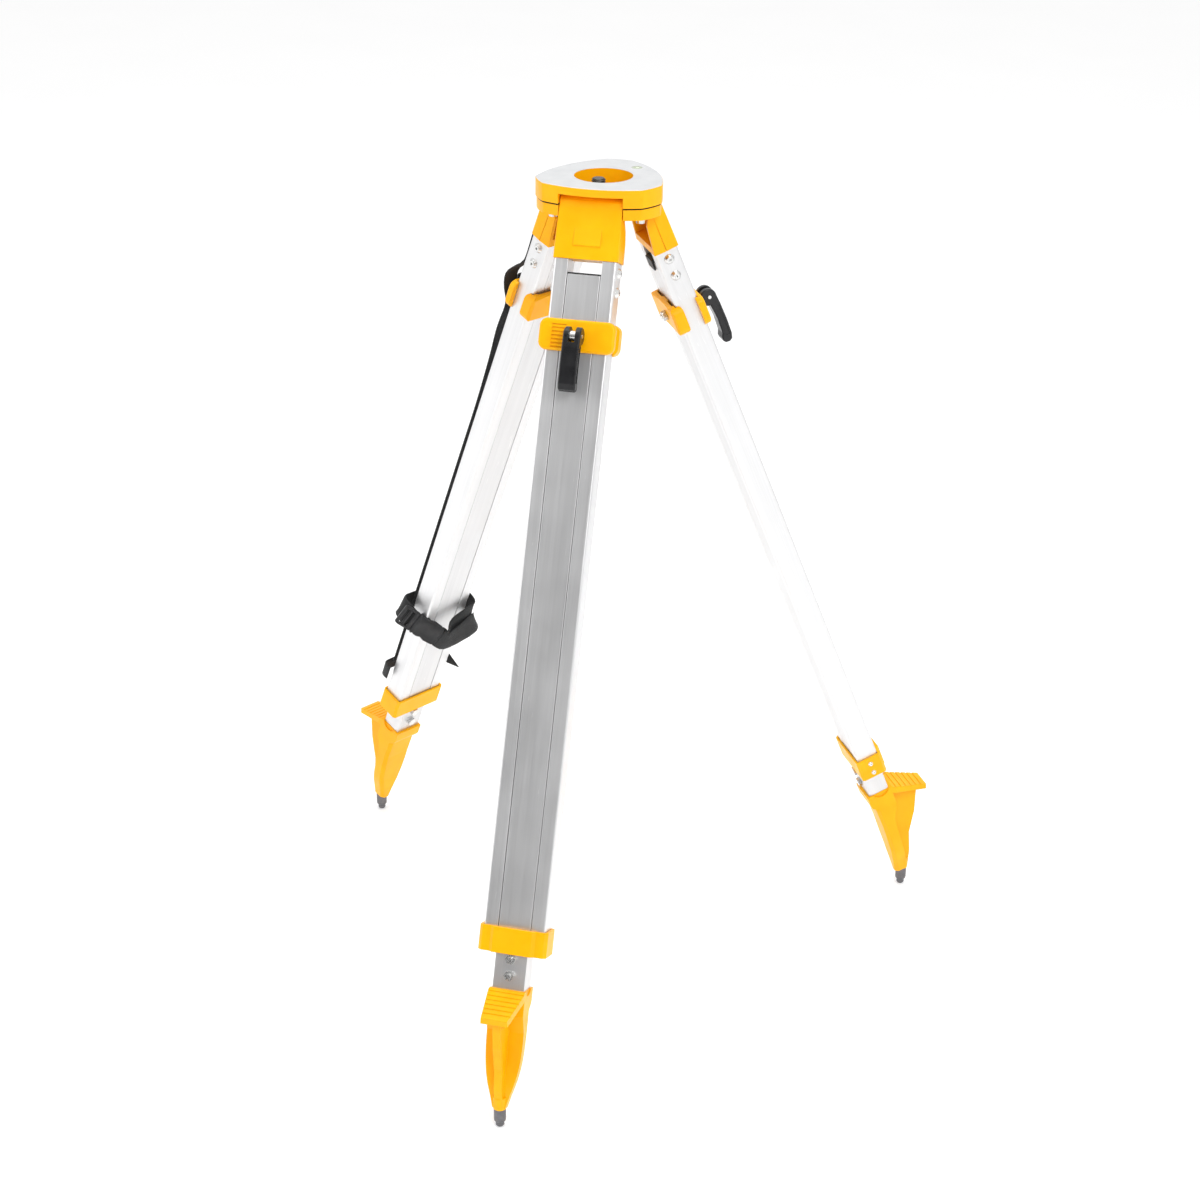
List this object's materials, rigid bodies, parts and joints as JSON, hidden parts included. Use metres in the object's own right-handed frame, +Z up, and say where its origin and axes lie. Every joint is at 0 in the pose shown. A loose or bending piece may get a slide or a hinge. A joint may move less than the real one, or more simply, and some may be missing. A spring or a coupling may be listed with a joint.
{
  "type": "surveyor tripod",
  "caption": "Aluminium surveyor tripod with yellow flat head, telescoping lever-clamp legs, step feet and a carrying strap",
  "frame": {"origin": "centre of the head's flat top face, on the axis of its centre hole", "axes": "+Z up, square to the flat top; the front leg spreads towards -Y; +X to the right seen from the front"},
  "size_m": [0.7634, 0.6612, 0.9599],
  "materials": {
    "yellow_enamel": "satin",
    "aluminium": "anodised satin",
    "black_plastic": "satin",
    "steel": "bright zinc",
    "dark_steel": "dark",
    "brass": "dull",
    "webbing": "woven",
    "black_metal": "gloss",
    "vial": "clear"
  },
  "bodies": {
    "head": {"head_casting": "yellow_enamel", "hinge_ring": "yellow_enamel", "ring_screws": "steel", "hinge_pins": "steel", "level_vial": "vial"},
    "upper_leg_front": {"hinge_bracket_front": "yellow_enamel", "rail_a_front": "aluminium", "rail_b_front": "aluminium", "rail_screws_front": "steel", "collar_front": "yellow_enamel", "collar_rivets_front": "steel"},
    "lower_leg_front": {"inner_tube_front": "aluminium", "end_cap_front": "black_plastic", "clamp_front_front": "yellow_enamel", "clamp_rear_front": "yellow_enamel", "clamp_bolt_front": "steel", "foot_front": "yellow_enamel", "foot_bolts_front": "steel", "foot_point_front": "dark_steel"},
    "lever_front": {"clamp_lever_front": "black_plastic", "lever_pin_front": "steel"},
    "upper_leg_right": {"hinge_bracket_right": "yellow_enamel", "rail_a_right": "aluminium", "rail_b_right": "aluminium", "rail_screws_right": "steel", "collar_right": "yellow_enamel", "collar_rivets_right": "steel"},
    "lower_leg_right": {"inner_tube_right": "aluminium", "end_cap_right": "black_plastic", "clamp_front_right": "yellow_enamel", "clamp_rear_right": "yellow_enamel", "clamp_bolt_right": "steel", "foot_right": "yellow_enamel", "foot_bolts_right": "steel", "foot_point_right": "dark_steel"},
    "lever_right": {"clamp_lever_right": "black_plastic", "lever_pin_right": "steel"},
    "upper_leg_left": {"hinge_bracket_left": "yellow_enamel", "rail_a_left": "aluminium", "rail_b_left": "aluminium", "rail_screws_left": "steel", "collar_left": "yellow_enamel", "collar_rivets_left": "steel", "carry_strap": "webbing", "tie_strap": "webbing", "buckle": "black_plastic"},
    "lower_leg_left": {"inner_tube_left": "aluminium", "end_cap_left": "black_plastic", "clamp_front_left": "yellow_enamel", "clamp_rear_left": "yellow_enamel", "clamp_bolt_left": "steel", "foot_left": "yellow_enamel", "foot_bolts_left": "steel", "foot_point_left": "dark_steel"},
    "lever_left": {"clamp_lever_left": "black_plastic", "lever_pin_left": "steel"},
    "screw_arm": {"screw_arm": "black_metal"},
    "screw_carriage": {"screw_bush": "brass"},
    "fixing_screw": {"fixing_screw": "dark_steel", "screw_knob": "black_plastic"}
  },
  "joints": [
    {"name": "leg_hinge_front", "type": "hinge", "parent": "head", "child": "upper_leg_front", "pos_m": [0, -0.044, -0.0204], "axis": [-1, 0, 0], "range_deg": [-18.5, 5]},
    {"name": "leg_slide_front", "type": "slide", "parent": "upper_leg_front", "child": "lower_leg_front", "axis": [0, -0.3843, -0.9232], "range_m": [0, 0.6]},
    {"name": "lever_hinge_front", "type": "hinge", "parent": "lower_leg_front", "child": "lever_front", "pos_m": [0, -0.1221, -0.14322], "axis": [-1, 0, 0], "range_deg": [0, 150]},
    {"name": "leg_hinge_right", "type": "hinge", "parent": "head", "child": "upper_leg_right", "pos_m": [0.0381, 0.022, -0.0204], "axis": [0.5, -0.866, 0], "range_deg": [-18.5, 5]},
    {"name": "leg_slide_right", "type": "slide", "parent": "upper_leg_right", "child": "lower_leg_right", "axis": [0.3328, 0.1921, -0.9232], "range_m": [0, 0.6]},
    {"name": "lever_hinge_right", "type": "hinge", "parent": "lower_leg_right", "child": "lever_right", "pos_m": [0.10574, 0.06105, -0.14322], "axis": [0.5, -0.866, 0], "range_deg": [0, 150]},
    {"name": "leg_hinge_left", "type": "hinge", "parent": "head", "child": "upper_leg_left", "pos_m": [-0.0381, 0.022, -0.0204], "axis": [0.5, 0.866, 0], "range_deg": [-18.5, 5]},
    {"name": "leg_slide_left", "type": "slide", "parent": "upper_leg_left", "child": "lower_leg_left", "axis": [-0.3328, 0.1921, -0.9232], "range_m": [0, 0.45]},
    {"name": "lever_hinge_left", "type": "hinge", "parent": "lower_leg_left", "child": "lever_left", "pos_m": [-0.10574, 0.06105, -0.14322], "axis": [0.5, 0.866, 0], "range_deg": [0, 150]},
    {"name": "arm_swing", "type": "hinge", "parent": "head", "child": "screw_arm", "pos_m": [0, 0.056, -0.035], "axis": [0, 0, 1], "range_deg": [-2, 14]},
    {"name": "carriage_slide", "type": "slide", "parent": "screw_arm", "child": "screw_carriage", "axis": [0.1028, 0.9947, 0], "range_m": [-0.008, 0.008]},
    {"name": "screw_turn", "type": "hinge", "parent": "screw_carriage", "child": "fixing_screw", "pos_m": [-0.00576, 0.0003, -0.035], "axis": [0, 0, 1], "continuous": true}
  ]
}
